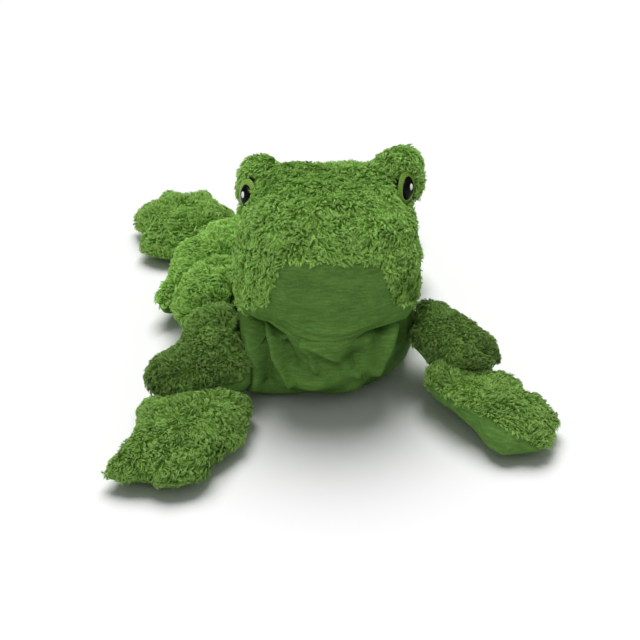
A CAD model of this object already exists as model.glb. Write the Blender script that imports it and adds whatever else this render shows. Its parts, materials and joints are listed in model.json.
import json
import math

import bpy
import numpy as np
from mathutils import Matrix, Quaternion, Vector
from mathutils.bvhtree import BVHTree
from mathutils.kdtree import KDTree

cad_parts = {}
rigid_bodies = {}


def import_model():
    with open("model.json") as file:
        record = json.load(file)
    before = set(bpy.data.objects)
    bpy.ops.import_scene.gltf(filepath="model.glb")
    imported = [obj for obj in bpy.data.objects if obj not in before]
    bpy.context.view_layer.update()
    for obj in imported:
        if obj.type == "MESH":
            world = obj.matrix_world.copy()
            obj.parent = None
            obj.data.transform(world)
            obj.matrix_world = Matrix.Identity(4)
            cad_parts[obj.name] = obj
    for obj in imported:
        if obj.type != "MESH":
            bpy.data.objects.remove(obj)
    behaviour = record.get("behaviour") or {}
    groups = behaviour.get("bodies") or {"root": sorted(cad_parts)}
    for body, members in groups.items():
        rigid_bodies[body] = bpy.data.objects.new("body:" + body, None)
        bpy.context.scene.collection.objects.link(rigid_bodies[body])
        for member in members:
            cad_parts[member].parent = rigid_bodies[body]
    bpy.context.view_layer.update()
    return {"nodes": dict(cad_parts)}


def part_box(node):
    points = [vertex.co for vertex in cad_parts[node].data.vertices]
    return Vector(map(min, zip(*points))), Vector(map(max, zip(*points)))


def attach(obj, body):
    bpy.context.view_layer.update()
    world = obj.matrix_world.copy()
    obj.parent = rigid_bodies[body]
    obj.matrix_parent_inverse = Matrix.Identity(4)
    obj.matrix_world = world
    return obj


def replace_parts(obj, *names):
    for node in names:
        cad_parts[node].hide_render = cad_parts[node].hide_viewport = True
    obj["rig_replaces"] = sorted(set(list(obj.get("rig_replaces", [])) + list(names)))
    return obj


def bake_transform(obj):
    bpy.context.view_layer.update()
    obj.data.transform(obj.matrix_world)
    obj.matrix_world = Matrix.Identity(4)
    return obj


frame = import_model()
mm = 0.001


# Camera at the photograph's viewing angle
def photographer():
    aim = Vector((0.0, 0.0, 46 * mm))
    distance = 840 * mm
    elevation = math.radians(30)
    picture_width = 640
    back = Vector((0.0, -math.cos(elevation), math.sin(elevation)))
    data = bpy.data.cameras.new("camera")
    data.lens = 85
    data.sensor_width = 36
    data.shift_x = -10 / picture_width
    data.shift_y = -30 / picture_width
    data.clip_start = 0.01
    data.clip_end = 20
    data.dof.use_dof = False
    camera = bpy.data.objects.new("camera", data)
    bpy.context.scene.collection.objects.link(camera)
    camera.location = aim + back * distance
    camera.rotation_mode = "QUATERNION"
    camera.rotation_quaternion = (-back).to_track_quat("-Z", "Y")
    bpy.context.scene.camera = camera


photographer()


# Colours and nodes
def paint(hex_colour):
    """An sRGB hex colour as linear RGBA."""
    channels = [int(hex_colour[i:i + 2], 16) / 255 for i in (1, 3, 5)]
    linear = [c / 12.92 if c <= 0.04045 else ((c + 0.055) / 1.055) ** 2.4 for c in channels]
    return (*linear, 1.0)


def add(tree, kind, settings=None, links=None):
    """One node, with its settings and with links from other nodes' sockets."""
    node = tree.nodes.new(kind)
    for key, value in (settings or {}).items():
        if isinstance(key, int) or key in node.inputs:
            node.inputs[key].default_value = value
        else:
            setattr(node, key, value)
    for key, socket in (links or {}).items():
        tree.links.new(socket, node.inputs[key])
    return node


def new_material(name, roughness, **sockets):
    made = bpy.data.materials.new(name)
    made.use_nodes = True
    shader = made.node_tree.nodes["Principled BSDF"]
    shader.inputs["Roughness"].default_value = roughness
    for key, value in sockets.items():
        shader.inputs[key.replace("_", " ")].default_value = value
    return made, made.node_tree, shader


def colour_steps(tree, fac, steps):
    """A colour ramp through (place, hex colour) steps."""
    ramp = add(tree, "ShaderNodeValToRGB", links={"Fac": fac})
    marks = ramp.color_ramp.elements
    while len(marks) < len(steps):
        marks.new(0.5)
    for mark, (place, colour) in zip(marks, steps):
        mark.position = place
        mark.color = paint(colour)
    return ramp.outputs["Color"]


def curly_pile_material():
    """Polyester fleece pile: dark at the root, where little light gets in, and pale at the worn, curled tip."""
    made, tree, shader = new_material("curly fleece pile", 0.85, Sheen_Weight=0.15, Sheen_Roughness=0.5,
                                      Sheen_Tint=paint("#a8d070"))
    shader.inputs["Specular IOR Level"].default_value = 0.25
    hair = add(tree, "ShaderNodeAttribute", {"attribute_name": "hair"})
    parts = add(tree, "ShaderNodeSeparateColor", links={"Color": hair.outputs["Color"]})
    length_colour = colour_steps(tree, parts.outputs["Red"],
                                 [(0.0, "#608a36"), (0.45, "#88b74c"), (1.0, "#a9d576")])
    # brushed patches about 15 mm across, and lone tufts
    place = add(tree, "ShaderNodeTexCoord")
    patches = add(tree, "ShaderNodeTexNoise", {"Scale": 1 / (15 * mm), "Detail": 2.0},
                  {"Vector": place.outputs["Object"]})
    mixed = add(tree, "ShaderNodeMath", {"operation": "MULTIPLY_ADD", 1: 0.35},
                {0: patches.outputs["Fac"], 2: parts.outputs["Green"]})
    tuft = add(tree, "ShaderNodeMath", {"operation": "ADD", 1: 0.325}, {0: mixed.outputs["Value"]})
    hue = add(tree, "ShaderNodeMapRange", {"From Min": 0.0, "From Max": 1.0, "To Min": 0.490, "To Max": 0.508},
              {"Value": parts.outputs["Blue"]})
    shade = add(tree, "ShaderNodeHueSaturation", {"Saturation": 1.0},
                {"Hue": hue.outputs["Result"], "Value": tuft.outputs["Value"], "Color": length_colour})
    tree.links.new(shade.outputs["Color"], shader.inputs["Base Color"])
    return made


def backing_material():
    """The knitted backing under the pile: dark green, with the roots as a fine 1 mm pepper."""
    made, tree, shader = new_material("knitted backing", 0.95)
    shader.inputs["Specular IOR Level"].default_value = 0.1
    place = add(tree, "ShaderNodeTexCoord")
    roots = add(tree, "ShaderNodeTexNoise", {"Scale": 1 / (1.2 * mm), "Detail": 3.0},
                {"Vector": place.outputs["Object"]})
    colour = colour_steps(tree, roots.outputs["Fac"], [(0.3, "#3a5c1a"), (0.7, "#628c33")])
    bump = add(tree, "ShaderNodeBump", {"Strength": 0.6, "Distance": 0.6 * mm}, {"Height": roots.outputs["Fac"]})
    tree.links.new(colour, shader.inputs["Base Color"])
    tree.links.new(bump.outputs["Normal"], shader.inputs["Normal"])
    return made


def velour_material():
    """Polyester velour: a short even nap that streaks paler where it is brushed, with a soft sheen at the edges."""
    made, tree, shader = new_material("short velour", 0.8, Sheen_Weight=0.3, Sheen_Roughness=0.5,
                                      Sheen_Tint=paint("#7fb052"))
    shader.inputs["Specular IOR Level"].default_value = 0.2
    place = add(tree, "ShaderNodeTexCoord")
    brushed = add(tree, "ShaderNodeMapping", {"Scale": (1.0, 1.0, 5.0)}, {"Vector": place.outputs["Object"]})
    # brushed streaks about 1 mm high and 6 mm long, and a nap of 0.9 mm, drawn coarser than the real 0.2 mm
    streaks = add(tree, "ShaderNodeTexNoise", {"Scale": 1 / (6 * mm), "Detail": 3.0, "Roughness": 0.6},
                  {"Vector": brushed.outputs["Vector"]})
    nap = add(tree, "ShaderNodeTexNoise", {"Scale": 1 / (0.9 * mm), "Detail": 2.0},
              {"Vector": place.outputs["Object"]})
    streak_colour = colour_steps(tree, streaks.outputs["Fac"],
                                 [(0.32, "#4a6e2c"), (0.5, "#527832"), (0.7, "#5f873d")])
    nap_shade = add(tree, "ShaderNodeMapRange", {"From Min": 0.3, "From Max": 0.7, "To Min": 0.86, "To Max": 1.1},
                    {"Value": nap.outputs["Fac"]})
    # the nap lies away from the light down in the folds, and towards it along their ridges
    lie = add(tree, "ShaderNodeAttribute", {"attribute_name": "nap"})
    folded = add(tree, "ShaderNodeMath", {"operation": "ADD"},
                 {0: nap_shade.outputs["Result"], 1: lie.outputs["Fac"]})
    shade = add(tree, "ShaderNodeHueSaturation", {}, {"Value": folded.outputs["Value"], "Color": streak_colour})
    height = add(tree, "ShaderNodeMath", {"operation": "MULTIPLY_ADD", 1: 0.35},
                 {0: streaks.outputs["Fac"], 2: nap.outputs["Fac"]})
    bump = add(tree, "ShaderNodeBump", {"Strength": 0.5, "Distance": 0.35 * mm}, {"Height": height.outputs["Value"]})
    tree.links.new(shade.outputs["Color"], shader.inputs["Base Color"])
    tree.links.new(bump.outputs["Normal"], shader.inputs["Normal"])
    return made


def satin_stitch_material(name, dark, pale):
    """Machine embroidery: rows of lustrous rayon thread 0.5 mm apart, drawn at 0.8 mm to show."""
    made, tree, shader = new_material(name, 0.45, Sheen_Weight=0.2)
    place = add(tree, "ShaderNodeTexCoord")
    thread = add(tree, "ShaderNodeTexWave", {"Scale": 1 / (2.5 * mm), "Distortion": 1.5, "Detail": 1.0,
                                             "bands_direction": "Z"}, {"Vector": place.outputs["Object"]})
    colour = colour_steps(tree, thread.outputs["Fac"], [(0.1, dark), (0.8, pale)])
    bump = add(tree, "ShaderNodeBump", {"Strength": 0.4, "Distance": 0.2 * mm}, {"Height": thread.outputs["Fac"]})
    tree.links.new(colour, shader.inputs["Base Color"])
    tree.links.new(bump.outputs["Normal"], shader.inputs["Normal"])
    return made


def glossy_black_material():
    """The black of the pupils: smooth and dark, with a faint, soft reflection of the lamps."""
    made, tree, shader = new_material("glossy black", 0.3, Specular_IOR_Level=0.1)
    place = add(tree, "ShaderNodeTexCoord")
    wear = add(tree, "ShaderNodeTexNoise", {"Scale": 1 / (3 * mm), "Detail": 3.0},
               {"Vector": place.outputs["Object"]})
    colour = colour_steps(tree, wear.outputs["Fac"], [(0.3, "#060606"), (0.8, "#101010")])
    tree.links.new(colour, shader.inputs["Base Color"])
    return made


pile_finish = curly_pile_material()
backing_finish = backing_material()
velour_finish = velour_material()
iris_finish = satin_stitch_material("lime satin stitch", "#5c8222", "#84aa34")
glint_finish = satin_stitch_material("white satin stitch", "#e4e6e2", "#ffffff")
pupil_finish = glossy_black_material()


# Meshes
def clear_choice():
    for thing in bpy.context.view_layer.objects:
        thing.select_set(False)


def tree_of_nodes(*names):
    return tree_of_meshes(*[frame["nodes"][name].data for name in names])


def tree_of_meshes(*meshes):
    points, faces = [], []
    for mesh in meshes:
        start = len(points)
        points += [v.co.copy() for v in mesh.vertices]
        faces += [[start + i for i in p.vertices] for p in mesh.polygons]
    return BVHTree.FromPolygons(points, faces)


def places_of(mesh):
    co = np.zeros(len(mesh.vertices) * 3)
    mesh.vertices.foreach_get("co", co)
    return co.reshape(-1, 3)


def put_places(mesh, co):
    mesh.vertices.foreach_set("co", np.ascontiguousarray(co, dtype=np.float32).ravel())
    mesh.update()


def normals_of(mesh):
    out = np.zeros(len(mesh.vertices) * 3)
    mesh.vertex_normals.foreach_get("vector", out)
    return out.reshape(-1, 3)


def edges_of(mesh):
    pairs = np.zeros(len(mesh.edges) * 2, dtype=np.int64)
    mesh.edges.foreach_get("vertices", pairs)
    return pairs.reshape(-1, 2)


def neighbours_mean(values, edges):
    total = np.zeros_like(values)
    count = np.zeros(len(values))
    np.add.at(total, edges[:, 0], values[edges[:, 1]])
    np.add.at(total, edges[:, 1], values[edges[:, 0]])
    np.add.at(count, edges.ravel(), 1)
    return total / count.reshape(-1, *[1] * (values.ndim - 1))


def soft_waves(points, wave_length, seed):
    """A smooth pattern between about -1 and 1, made of crossing waves."""
    waves, highest_sum = 7, 2.6
    rng = np.random.default_rng(seed)
    total = np.zeros(len(points))
    for wave in range(waves):
        way = rng.normal(size=3)
        way /= np.linalg.norm(way)
        stretch = wave_length * rng.uniform(0.7, 1.5)
        total += np.sin(points @ way * (2 * math.pi / stretch) + rng.uniform(0, 2 * math.pi))
    return total / highest_sum


def blown_ball(name, nodes):
    """A ball laid over the outside of CAD panels, so that their form can be covered in one skin."""
    clear_choice()
    bpy.ops.mesh.primitive_ico_sphere_add(subdivisions=6, radius=1.0)
    cover = bpy.context.object
    cover.name = cover.data.name = name
    low = np.min([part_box(n)[0] for n in nodes], axis=0)
    high = np.max([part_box(n)[1] for n in nodes], axis=0)
    inner_low, inner_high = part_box(nodes[-1])
    middle = np.array((inner_low + inner_high) / 2)
    half = (high - low) / 2
    ways = places_of(cover.data) * half
    ways /= np.linalg.norm(ways, axis=1)[:, None]
    skin = tree_of_nodes(*nodes)
    far = float(np.linalg.norm(half)) * 3
    reach = np.zeros(len(ways))
    for i, way in enumerate(ways):
        start = Vector(middle + way * far)
        hit = skin.ray_cast(start, Vector(-way))
        reach[i] = far - hit[3] if hit[0] else 0.0
    edges = edges_of(cover.data)
    for again in range(2):
        grown = reach.copy()
        np.maximum.at(grown, edges[:, 0], reach[edges[:, 1]])
        np.maximum.at(grown, edges[:, 1], reach[edges[:, 0]])
        reach = grown
    for again in range(2):
        shrunk = reach.copy()
        np.minimum.at(shrunk, edges[:, 0], reach[edges[:, 1]])
        np.minimum.at(shrunk, edges[:, 1], reach[edges[:, 0]])
        reach = shrunk
    put_places(cover.data, middle + ways * reach[:, None])
    return cover


# Places where a skin is pulled, as (place, radius, pull) in mm, so that it sags and bulges as sewn pieces do
pulls = {
    "head": [((-50, 4, 94), 24, (-2, 0, 0)), ((50, 6, 96), 24, (1, 0, 0)), ((-34, 24, 102), 30, (0, 0, 3.5)),
             ((36, 26, 106), 30, (0, 0, 7)), ((0, -52, 42), 38, (0, -4, -11)), ((-42, -44, 48), 16, (0, 0, 3)),
             ((42, -44, 48), 16, (0, 0, 3)), ((-43, 0, 98), 13, (2, 3, -4)), ((42, 0, 102), 12, (0, 3, -3))],
    "torso": [((-38, -40, 6), 28, (-12, -8, 0)), ((-50, -20, 20), 24, (-4, -3, 0)),
              ((46, -12, 14), 36, (4, -1, 0)), ((0, -46, 42), 34, (0, -6, 3)), ((-10, -52, 4), 40, (0, -4, 0)),
              ((28, -48, 4), 24, (-1, 1, 0)), ((-40, -36, 4), 22, (-6, -6, 0))],
    "right_arm": [((-97, -52, 22), 40, (6, -8, 0)), ((-90, -22, 28), 26, (11, -3, -2)),
                  ((-57, -45, 18), 28, (21, -10, -6))],
    "right_hand": [((-106, -118, 8), 22, (-5, -6, 0)), ((-94, -130, 4), 9, (3, 7, 0)),
                   ((-66, -116, 4), 16, (-2, 3, 0)), ((-48, -62, 15), 24, (9, 6, 3)),
                   ((-96, -64, 15), 20, (-5, 5, 0)), ((-48, -88, 6), 20, (4, 0, 0))],
    "left_arm": [((92, -42, 28), 32, (-3, 3, 0)), ((52, -22, 14), 20, (5, 3, 0))],
    "left_hand": [((48, -52, 12), 36, (3, 12, 9)), ((72, -80, 8), 28, (0, 8, 6)), ((62, -68, 8), 22, (3, 4, 1)),
                  ((114, -64, 12), 22, (-2, -1, 0)), ((112, -92, 5), 20, (2, -2, 0))],
    "right_foot": [((-118, 118, 6), 34, (-9, -9, 0)), ((-130, 142, 8), 20, (4, -2, 0)),
                   ((-100, 102, 4), 22, (0, -4, 0))],
    "right_shank": [((-103, 66, 15), 24, (6, -5, -2)), ((-98, 40, 8), 22, (-3, -6, 0))],
    "right_eye_mound": [((-50, 18, 108), 20, (0, 0, 1))],
    "left_eye_mound": [((50, 26, 112), 24, (0, 0, 4))],
}


def pull_skin(cover, form):
    co = places_of(cover.data)
    for place, radius, pull in pulls.get(form, []):
        away = np.linalg.norm(co - np.array(place) * mm, axis=1) / (radius * mm)
        co += (np.clip(1 - away ** 2, 0, 1) ** 2)[:, None] * np.array(pull) * mm
    put_places(cover.data, co)


def voxel_skin(cover, size):
    clear_choice()
    cover.select_set(True)
    bpy.context.view_layer.objects.active = cover
    cover.data.remesh_voxel_size = size
    bpy.ops.object.voxel_remesh()


def smooth_skin(cover, times, share=0.5):
    """Even out small steps, and push back outwards each time, so that the form keeps its size."""
    push_back = 1.06
    edges = edges_of(cover.data)
    co = places_of(cover.data)
    for again in range(times):
        for step in (share, -share * push_back):
            co = co + (neighbours_mean(co, edges) - co) * step
    put_places(cover.data, co)


def relax_skin(cover, times):
    """Round off narrow tips."""
    edges = edges_of(cover.data)
    co = places_of(cover.data)
    for again in range(times):
        co = co + (neighbours_mean(co, edges) - co) * 0.5
    put_places(cover.data, co)


def stuff(cover, most):
    """Blow the skin up from inside as its filling does, moving no point further than the most."""
    frames = 20
    before = places_of(cover.data)
    cloth = cover.modifiers.new("stuffing", "CLOTH")
    cloth.settings.quality = 4
    cloth.settings.use_pressure = True
    cloth.settings.uniform_pressure_force = 4.0
    cloth.settings.tension_stiffness = 12
    cloth.settings.compression_stiffness = 8
    cloth.settings.effector_weights.gravity = 0.0
    cloth.collision_settings.use_collision = False
    scene = bpy.context.scene
    for step in range(1, frames + 1):
        scene.frame_set(step)
    swollen = cover.evaluated_get(bpy.context.evaluated_depsgraph_get())
    after = places_of(swollen.data)
    cover.modifiers.remove(cloth)
    scene.frame_set(1)
    moved = after - before
    length = np.linalg.norm(moved, axis=1)[:, None]
    put_places(cover.data, before + moved * np.minimum(1.0, most / np.maximum(length, 1e-9)))


def subdivide_skin(cover):
    clear_choice()
    cover.select_set(True)
    bpy.context.view_layer.objects.active = cover
    finer = cover.modifiers.new("finer", "SUBSURF")
    finer.levels = finer.render_levels = 1
    bpy.ops.object.modifier_apply(modifier=finer.name)


def sew_zones(cover, fur_node, velour_node, shift=None):
    """Backing where the fur panel is, and velour where the velour panel is.

    Returns how far each point lies into the fur.
    """
    co = places_of(cover.data)
    if velour_node is None:
        into_fur = np.full(len(co), 10 * mm)
    else:
        fur, velour = tree_of_nodes(fur_node), tree_of_nodes(velour_node)
        into_fur = np.array([velour.find_nearest(Vector(p))[3] - fur.find_nearest(Vector(p))[3] for p in co])
        into_fur = into_fur * 0.5 + neighbours_mean(into_fur, edges_of(cover.data)) * 0.5
    if shift:
        into_fur = shift(co, into_fur)
    cover.data.materials.clear()
    cover.data.materials.append(backing_finish)
    cover.data.materials.append(velour_finish)
    for face in cover.data.polygons:
        face.material_index = 0 if np.mean(into_fur[list(face.vertices)]) > 0 else 1
    cover.data.shade_smooth()
    return into_fur


covers = {}
taken_in, most_blown_out = 0.8 * mm, 1.8 * mm
pile_height = 1.6 * mm
sunk_share = 0.8
darkest_nap, palest_nap = -0.34, 0.16
above_floor = 0.15 * mm

# The end of a form that is sewn to its neighbour stays with the neighbour, and bends from there to where it is free:
# (neighbour, place where it is held, place where it is free), in mm
sewn_ends = {
    "head": ("torso", (0, 0, 46), (0, -11, 65)),
    "right_arm": ("torso", (-57.2, -6.0, 0), (-73.6, -24.8, 0)),
    "left_arm": ("torso", (51.1, -6.0, 0), (67.2, -25.2, 0)),
    "right_hand": ("right_arm", (-79.8, -58.4, 0), (-81.6, -76.4, 0)),
    "left_hand": ("left_arm", (79.9, -45.4, 0), (84.8, -62.7, 0)),
    "right_thigh": ("torso", (-29, 30, 0), (-49, 30, 0)),
    "left_thigh": ("torso", (17.4, 71.9, 0), (26.2, 89.9, 0)),
    "right_shank": ("right_thigh", (-65.6, 61.8, 0), (-70.6, 83.2, 0)),
    "left_shank": ("left_thigh", (10.4, 131.6, 0), (0.1, 151.0, 0)),
    "right_foot": ("right_shank", (-82.2, 119.4, 0), (-88.4, 138.4, 0)),
    "left_foot": ("left_shank", (0.8, 174.4, 0), (-0.6, 194.4, 0)),
}


def follow(piece, form, body):
    """Move with a body, but bend where the form is sewn to its neighbour."""
    if form in sewn_ends:
        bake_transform(piece)
    else:
        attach(piece, body)


def stuffed_piece(form, body, nodes, voxel=3 * mm, fold=None, seam=None, soft=0):
    """One stuffed form: its skin in one, of backing and velour, blown up, and lowered where the pile will stand."""
    fur_node = nodes[0]
    velour_node = nodes[1] if len(nodes) > 1 else None
    cover = blown_ball(form + "_cover", nodes)
    pull_skin(cover, form)
    voxel_skin(cover, voxel)
    smooth_skin(cover, 4)
    relax_skin(cover, soft)
    slack = taken_in
    put_places(cover.data, places_of(cover.data) - normals_of(cover.data) * slack)
    stuff(cover, most_blown_out)
    smooth_skin(cover, 2, 0.4)
    subdivide_skin(cover)
    if fold:
        subdivide_skin(cover)
    into_fur = sew_zones(cover, fur_node, velour_node, seam)
    co, normal = places_of(cover.data), normals_of(cover.data)
    under_pile = np.clip(into_fur / (2 * mm), 0, 1)
    sink = under_pile * pile_height * sunk_share
    lumps = (soft_waves(co, 18 * mm, 3) * 0.9 + soft_waves(co, 7 * mm, 4) * 0.45) * mm
    co = co - normal * (sink + lumps * under_pile)[:, None]
    if fold:
        height, shade = fold(co, 1 - under_pile)
        co = co + normal * (height * mm)[:, None]
        nap = cover.data.attributes.new("nap", "FLOAT", "POINT")
        nap.data.foreach_set("value", np.clip(shade, darkest_nap, palest_nap).astype(np.float32))
    co[:, 2] = np.maximum(co[:, 2], above_floor)
    put_places(cover.data, co)
    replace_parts(cover, *nodes)
    follow(cover, form, body)
    covers[form] = (cover, body, into_fur)


def throat_seam(co, into_fur):
    """Only velour shows in front of the shoulders."""
    return np.minimum(into_fur, co[:, 1] + 24 * mm)


def cheek_seam(co, into_fur):
    """The fur comes further round the cheeks than the seam of the chin at the middle."""
    aside = np.clip((np.abs(co[:, 0] - 1 * mm) - 24 * mm) / (12 * mm), 0, 1)
    front = np.clip((-36 * mm - co[:, 1]) / (10 * mm), 0, 1)
    cheeks = aside * np.clip((co[:, 2] - 61 * mm) / (7 * mm), 0, 1) * 13 * mm
    return into_fur + cheeks - front * (1 - aside) * 4.5 * mm


def left_hand_seam(co, into_fur):
    """The velour palm shows along the inner edge, which is turned up a little."""
    inward = (co[:, 0] - 80 * mm) * -0.73 + (co[:, 1] + 62 * mm) * -0.68
    return into_fur - np.clip((inward - 6 * mm) / (10 * mm), 0, 1) * 14 * mm


def crease(co, lines):
    """Height in mm that hand-laid lines, seen from the front, add: (width, height, points across and up in mm)."""
    spots = co[:, [0, 2]] / mm
    total = np.zeros(len(co))
    for width, height, points in lines:
        nearest = np.full(len(co), 1e9)
        for start, end in zip(points, points[1:]):
            start, way = np.array(start, float), np.array(end, float) - np.array(start, float)
            share = np.clip((spots - start) @ way / (way @ way), 0, 1)
            nearest = np.minimum(nearest, np.linalg.norm(spots - start - share[:, None] * way, axis=1))
        total += height * np.exp(-(nearest / width) ** 2)
    return total


def throat_folds(co, on_velour):
    """The folds that hang from the chin across the throat and over the chest: their height in mm, and their shade."""
    shade_per_mm = 0.045
    front = np.clip((-20 * mm - co[:, 1]) / (12 * mm), 0, 1) * on_velour
    lines = [(2.0, 4.0, [(-36, 56), (-33, 43), (-28, 29), (-22, 15)]),
             (4.4, -8.0, [(-41, 52), (-37, 33), (-33, 12)]),
             (4.0, -6.5, [(-27, 42), (-21, 29)]),
             (2.4, 3.0, [(-15, 43), (-10.6, 33), (-8, 26)]),
             (5.0, -5.0, [(-12, 34), (1, 31), (14, 32)]),
             (2.4, 3.0, [(-13, 45), (-2, 37), (8, 30), (14, 22)]),
             (3.2, 4.0, [(31, 60), (33, 42), (30, 28), (24, 20)]),
             (4.4, -8.0, [(41, 60), (42, 34)]),
             (4.0, -2.0, [(14, 38), (24, 40)]),
             (6.0, 2.2, [(-14, 16), (6, 14), (22, 18)])]
    height = (crease(co, lines) + soft_waves(co, 16 * mm, 8) * 0.9) * front
    return height, height * shade_per_mm


def chin_creases(co, on_velour):
    """Shallow creases across the chin, which is paler where it turns under: their height in mm, and their shade."""
    shade_per_mm, paler_below, upper_shade = 0.06, 0.16, 0.06
    front = np.clip((-25 * mm - co[:, 1]) / (12 * mm), 0, 1) * on_velour
    lines = [(1.5, -1.5, [(-32, 54), (-18, 47.5), (-2, 45.5), (15, 47.5), (30, 55)]),
             (1.4, -1.1, [(-24, 58), (-10, 51.5), (5, 50), (22, 54)]),
             (1.4, 0.9, [(-28, 61), (-12, 54.5), (6, 53), (24, 58)])]
    height = (crease(co, lines) + soft_waves(co, 14 * mm, 9) * 0.7) * front
    low = np.clip((60 * mm - co[:, 2]) / (14 * mm), 0, 1)
    return height, height * shade_per_mm + (low * paler_below - upper_shade) * front


stuffed_piece("torso", "torso", ("torso_fur_back", "torso_velour_belly", "torso_filling"), 4 * mm,
              throat_folds, throat_seam)
stuffed_piece("head", "head", ("head_fur_hood", "head_velour_chin", "head_filling"), 4 * mm, chin_creases,
              cheek_seam)
for side in ("right", "left"):
    stuffed_piece(side + "_eye_mound", "head", (side + "_eye_mound",))
    stuffed_piece(side + "_arm", side + "_arm", tuple(side + "_arm_" + part for part in
                  ("fur_sleeve", "velour_underside", "filling")))
    stuffed_piece(side + "_hand", side + "_hand", tuple(side + "_hand_" + part for part in
                  ("fur_top", "velour_palm", "filling")), seam=left_hand_seam if side == "left" else None,
                  soft=3)
    for leg in ("thigh", "shank"):
        stuffed_piece(f"{side}_{leg}", f"{side}_{leg}", tuple(f"{side}_{leg}_{part}" for part in
                      ("fur", "velour", "filling")))
    stuffed_piece(side + "_foot", side + "_foot", tuple(side + "_foot_" + part for part in
                  ("fur_top", "velour_sole", "filling")), soft=6)


# Eyes
def eye_ways(sign, roll):
    """The way an eye looks, and its own across and up."""
    outward, upward = math.radians(34), math.radians(12)
    turn = -math.pi / 2 + sign * outward
    look = Vector((math.cos(turn) * math.cos(upward), math.sin(turn) * math.cos(upward), math.sin(upward)))
    across = Vector((0.0, 0.0, 1.0)).cross(look).normalized()
    across.rotate(Quaternion(look, math.radians(roll)))
    return look, across, look.cross(across)


def seat_level(seat, centre, ways, width, height):
    """How far along the look the surface lies under an oval, on the whole."""
    look, across, up = ways
    in_front, reach = 15 * mm, 24 * mm
    levels = []
    for turn in range(0, 360, 45):
        for share in (0.0, 0.45, 0.8):
            u = math.cos(math.radians(turn)) * share * width / 2
            v = math.sin(math.radians(turn)) * share * height / 2
            hit = seat.ray_cast(centre + across * u + up * v + look * in_front, -look, reach)
            if hit[0]:
                levels.append((hit[0] - centre).dot(look) + (u * u + v * v) / (2 * eye_bulge))
    return float(np.percentile(levels, 60))


def sewn_patch(name, node, centre, ways, sizes, finish):
    """An oval pad, domed on top, that follows the bulge of the eye and is sunk into the pile below."""
    sunk = 2.5 * mm
    width, height, thickness, rise = sizes
    look, across, up = ways
    clear_choice()
    bpy.ops.mesh.primitive_uv_sphere_add(segments=40, ring_count=20, radius=1.0)
    patch = bpy.context.object
    patch.name = patch.data.name = name
    for vert in patch.data.vertices:
        u, v, w = vert.co
        aside, above = u * width / 2, v * height / 2
        fall = (aside * aside + above * above) / (2 * eye_bulge)
        top = thickness * w if w > 0 else sunk * w
        vert.co = centre + across * aside + up * above + look * (rise - fall + top)
    patch.data.materials.append(finish)
    patch.data.shade_smooth()
    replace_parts(patch, node)
    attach(patch, "head")


# Width, height, thickness and rise of each pad
iris_sizes = (11.2 * mm, 18.6 * mm, 0.7 * mm, 1.2 * mm)
pupil_sizes = (7.4 * mm, 13.2 * mm, 1.4 * mm, 1.6 * mm)
glint_sizes = (2.0 * mm, 3.8 * mm, 0.45 * mm, 2.75 * mm)
eye_bulge = 20 * mm
eye_spots = []
for side, sign, roll, stand, centre in (("right", -1.0, 10, 1.2 * mm, Vector((-46.3, 6.5, 100.5)) * mm),
                                        ("left", 1.0, -12, 0.0, Vector((43.8, 6, 105.3)) * mm)):
    ways = eye_ways(sign, roll)
    seat = tree_of_meshes(covers["head"][0].data, covers[side + "_eye_mound"][0].data)
    centre = centre + ways[0] * (seat_level(seat, centre, ways, 9 * mm, 14 * mm) + stand)
    eye_spots.append((centre, *ways, -sign * 0.8 * mm))
    look, across, up = ways
    iris_centre = centre - across * (sign * 0.4 * mm)
    glint_centre = centre + up * (0.9 * mm) + across * (sign * 1.0 * mm)
    sewn_patch(side + "_iris", side + "_eye_iris", iris_centre, ways, iris_sizes, iris_finish)
    sewn_patch(side + "_pupil", side + "_eye_pupil", centre, ways, pupil_sizes, pupil_finish)
    sewn_patch(side + "_glint", side + "_eye_glint", glint_centre, ways, glint_sizes, glint_finish)


# Pile
hair_length = 3.8 * mm
hairs_per_mm2 = 4.6
fewer_hairs = ("torso", "right_thigh", "left_thigh", "right_shank", "left_shank", "right_foot", "left_foot")
fewer_share = 0.8
hairs_in_tuft = 7
most_hairs = 39000
root_depth = 0.3 * mm
past_seam = 0.2 * mm
half_widths = (0.16 * mm, 0.18 * mm, 0.13 * mm)
place_along_hair = (0.0, 0.0, 0.45, 0.45, 0.8, 0.8, 1.0)
# Each third of a hair: how steeply it rises, in radians, and how far it is gathered to its tuft
thirds = ((1.15, 0.12), (0.55, 0.30), (-0.05, 0.42))


def flow_over(form, points):
    """The way the pile is brushed on each form, before it curls."""
    ways = np.zeros_like(points)
    if form in ("head", "right_eye_mound", "left_eye_mound"):
        ways[:, 0] = points[:, 0] * 9
        ways[:, 1] = -0.6 + points[:, 1] * 6
        ways[:, 2] = -0.5
    elif form == "torso":
        ways[:, 1] = 0.7
        ways[:, 0] = points[:, 0] * 6
        ways[:, 2] = -0.5
    else:
        low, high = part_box(covers[form][0]["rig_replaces"][0])
        root = np.array((low + high) / 2)
        out = points - root
        ways[:] = out / (np.linalg.norm(out, axis=1)[:, None] + 1e-9)
        toward = np.array([root[0], root[1], 0.0])
        ways += 0.7 * toward / (np.linalg.norm(toward) + 1e-9)
    return ways


def unit(vectors):
    return vectors / np.maximum(np.linalg.norm(vectors, axis=1), 1e-9)[:, None]


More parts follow.
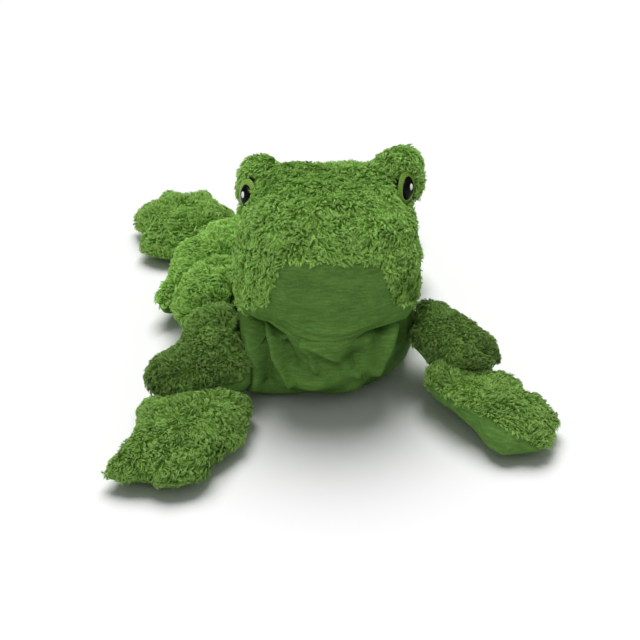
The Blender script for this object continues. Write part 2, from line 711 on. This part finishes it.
def pile_hairs(form, per_mm2, seed):
    """The roots, bends and tips of every hair on a form's fur panel, gathered in curled tufts."""
    cover, ignored, into_fur = covers[form]
    rng = np.random.default_rng(seed)
    mesh = cover.data
    mesh.calc_loop_triangles()
    tri = np.zeros(len(mesh.loop_triangles) * 3, dtype=np.int64)
    mesh.loop_triangles.foreach_get("vertices", tri)
    tri = tri.reshape(-1, 3)
    co, normal = places_of(mesh), normals_of(mesh)
    tri = tri[into_fur[tri].mean(axis=1) > -past_seam]
    a, b, c = co[tri[:, 0]], co[tri[:, 1]], co[tri[:, 2]]
    area = np.linalg.norm(np.cross(b - a, c - a), axis=1) / 2
    count = int(area.sum() / mm ** 2 * per_mm2)
    pick = rng.choice(len(tri), count, p=area / area.sum())
    u, v = rng.random(count), rng.random(count)
    over = u + v > 1
    u[over], v[over] = 1 - u[over], 1 - v[over]
    w = 1 - u - v
    root = a[pick] * w[:, None] + b[pick] * u[:, None] + c[pick] * v[:, None]
    n0, n1, n2 = normal[tri[pick, 0]], normal[tri[pick, 1]], normal[tri[pick, 2]]
    up = unit(n0 * w[:, None] + n1 * u[:, None] + n2 * v[:, None])

    tufts = max(4, count // hairs_in_tuft)
    near = KDTree(tufts)
    for i in range(tufts):
        near.insert(Vector(root[i]), i)
    near.balance()
    tuft = np.array([near.find(Vector(p))[1] for p in root])

    flow = flow_over(form, root)
    flow = unit(flow - up * (flow * up).sum(axis=1)[:, None])
    aside = np.cross(up, flow)
    swirl = soft_waves(root[:tufts], 26 * mm, 21) * 0.8 + soft_waves(root[:tufts], 8 * mm, 22) * 0.7
    angle = (swirl + rng.normal(0, 0.28, tufts))[tuft] + rng.normal(0, 0.15, count)
    curl = (soft_waves(root[:tufts], 6 * mm, 23) * 0.45 + rng.normal(0, 0.35, tufts))[tuft]
    curl = curl + rng.normal(0, 0.15, count)
    stand = (soft_waves(root[:tufts], 20 * mm, 24) * 0.3 + rng.normal(0, 0.18, tufts))[tuft] - 0.15
    length = hair_length * rng.uniform(0.85, 1.15, tufts)[tuft] * rng.uniform(0.8, 1.2, count)
    joints = [root - up * root_depth]
    place = root
    for step, (steepness, gather) in enumerate(thirds):
        turn = angle + curl * step
        rise = steepness + stand + rng.normal(0, 0.1, count)
        ahead = (flow * np.cos(turn)[:, None] + aside * np.sin(turn)[:, None]) * np.cos(rise)[:, None]
        place = place + (ahead + up * np.sin(rise)[:, None]) * (length / 3)[:, None]
        place = place * (1 - gather) + place[:tufts][tuft] * gather
        lowest = 0.3 * mm + 0.1 * mm * (3 - step)
        place[:, 2] = np.maximum(place[:, 2], lowest)
        joints.append(place)
    return np.stack(joints, axis=1), rng.random(tufts)[tuft], rng.random(count)


def hidden_hairs(form, joints):
    """Hairs that would stand inside another piece, or under an eye."""
    half_width, half_height, half_depth = 5.9 * mm, 9.3 * mm, 9 * mm
    hidden = np.zeros(len(joints), bool)
    low, high = joints[:, 1:].min(axis=(0, 1)) - 2 * mm, joints[:, 1:].max(axis=(0, 1)) + 2 * mm
    for other, (piece, *ignored) in covers.items():
        if other == form:
            continue
        co = places_of(piece.data)
        if (co.max(axis=0) < low).any() or (co.min(axis=0) > high).any():
            continue
        shell = tree_of_meshes(piece.data)
        box_low, box_high = co.min(axis=0) - 1 * mm, co.max(axis=0) + 1 * mm
        for ends in (joints[:, 1], joints[:, 3]):
            close = np.where(((ends > box_low) & (ends < box_high)).all(axis=1) & ~hidden)[0]
            for i in close:
                spot, normal, *ignored = shell.find_nearest(Vector(ends[i]))
                if spot is not None and (Vector(ends[i]) - spot).dot(normal) < 0.1 * mm:
                    hidden[i] = True
    if covers[form][1] == "head":
        for centre, look, across, up, inward in eye_spots:
            for ends in (joints[:, 1], joints[:, 2], joints[:, 3]):
                away = ends - np.array(centre)
                u, v, w = away @ np.array(across), away @ np.array(up), away @ np.array(look)
                oval = ((u - inward) / half_width) ** 2 + ((v + 0.4 * mm) / half_height) ** 2
                hidden |= (oval < 1) & (np.abs(w) < half_depth)
    return hidden


def hair_mesh(name, form, joints, tuft_shade, own_shade):
    """Flat hairs that taper over two bends to a point."""
    count = len(joints)
    rng = np.random.default_rng(count)
    verts = np.zeros((count, 7, 3))
    for ring, width in enumerate(half_widths):
        ahead = unit(joints[:, ring + 1] - joints[:, ring])
        side = unit(np.cross(ahead, rng.normal(size=(count, 3)) if ring == 0 else last))
        last = np.cross(side, ahead)
        verts[:, ring * 2] = joints[:, ring] - side * width
        verts[:, ring * 2 + 1] = joints[:, ring] + side * width
    verts[:, 6] = joints[:, 3]
    quads = np.array([(0, 1, 3, 2), (2, 3, 5, 4)])
    starts = (np.arange(count) * 7)[:, None, None]
    quads = (quads[None] + starts).reshape(-1, 4)
    tips = (np.array([(4, 5, 6)])[None] + starts).reshape(-1, 3)
    mesh = bpy.data.meshes.new(name)
    mesh.vertices.add(count * 7)
    mesh.vertices.foreach_set("co", verts.astype(np.float32).ravel())
    corners = np.concatenate([quads.ravel(), tips.ravel()]).astype(np.int32)
    first = np.concatenate([np.arange(len(quads)) * 4, len(quads) * 4 + np.arange(len(tips)) * 3])
    mesh.loops.add(len(corners))
    mesh.loops.foreach_set("vertex_index", corners)
    mesh.polygons.add(len(quads) + len(tips))
    mesh.polygons.foreach_set("loop_start", first.astype(np.int32))
    mesh.update(calc_edges=True)
    mesh.validate()
    shade = np.ones((count, 7, 4), np.float32)
    shade[:, :, 0] = np.array(place_along_hair)[None]
    shade[:, :, 1] = tuft_shade[:, None]
    shade[:, :, 2] = own_shade[:, None]
    hair = mesh.color_attributes.new("hair", "FLOAT_COLOR", "POINT")
    hair.data.foreach_set("color", shade.ravel())
    mesh.materials.append(pile_finish)
    mesh.shade_smooth()
    pile = bpy.data.objects.new(name, mesh)
    bpy.context.scene.collection.objects.link(pile)
    follow(pile, form, covers[form][1])


# Pile that is brushed against the light looks darker, and pile that lies towards it paler.
# The arms turn paler upwards.
tones = {"right_arm": -0.56, "left_arm": -0.66, "right_hand": -0.22, "left_hand": -0.24, "head": -0.02, "torso": 0.03}
for side in ("right", "left"):
    tones.update({side + "_thigh": 0.06, side + "_shank": 0.10, side + "_foot": -0.04})
tuft_contrast = 0.10
paler_from, paler_over, paler_by = 22 * mm, 18 * mm, 0.24
for number, form in enumerate(sorted(covers)):
    density = hairs_per_mm2 * (fewer_share if form in fewer_hairs else 1)
    joints, tuft_shade, own_shade = pile_hairs(form, density, 100 + number)
    shown = ~hidden_hairs(form, joints)
    joints, tuft_shade, own_shade = joints[shown], tuft_shade[shown], own_shade[shown]
    order = np.argsort(joints[:, 0, 1], kind="stable")
    shares = np.array_split(order, max(1, math.ceil(len(order) / most_hairs)))
    for part, chosen in enumerate(shares):
        label = form + "_pile" + (f"_{part + 1}" if len(shares) > 1 else "")
        shade = 0.5 + tones.get(form, 0.0) + (tuft_shade[chosen] - 0.5) * tuft_contrast
        if form.endswith("_arm"):
            shade = shade + np.clip((joints[chosen, 0, 2] - paler_from) / paler_over, 0, 1) * paler_by
        hair_mesh(label, form, joints[chosen], shade, own_shade[chosen])


# Floor, light and background
def studio():
    clear_choice()
    bpy.ops.mesh.primitive_plane_add(size=8.0, location=(0, 0, 0))
    floor = bpy.context.object
    floor.name = "floor"
    made, tree, shader = new_material("pale paper floor", 0.9)
    shader.inputs["Specular IOR Level"].default_value = 0.1
    shader.inputs["Base Color"].default_value = paint("#ffffff")
    floor.data.materials.append(made)
    world = bpy.data.worlds.new("soft studio")
    bpy.context.scene.world = world
    world.use_nodes = True
    sky = world.node_tree
    ground = sky.nodes["Background"]
    ground.inputs["Color"].default_value = paint("#ffffff")
    ground.inputs["Strength"].default_value = 0.215
    lit = bpy.data.collections.new("lit from the front")
    for piece in bpy.context.scene.objects:
        if piece.type == "MESH" and piece != floor:
            lit.objects.link(piece)
    for name, way, spread, power in (("broad key light", (-0.06, 0.52, 1.0), 46, 2.88),
                                     ("front fill light", (-0.35, -0.8, 1.0), 20, 1.25)):
        data = bpy.data.lights.new(name, "SUN")
        data.angle = math.radians(spread)
        data.energy = power
        lamp = bpy.data.objects.new(name, data)
        bpy.context.scene.collection.objects.link(lamp)
        lamp.rotation_mode = "QUATERNION"
        lamp.rotation_quaternion = (-Vector(way)).to_track_quat("-Z", "Y")
        if name.startswith("front"):
            lamp.light_linking.receiver_collection = lit
    bpy.context.scene.view_settings.view_transform = "Standard"


studio()
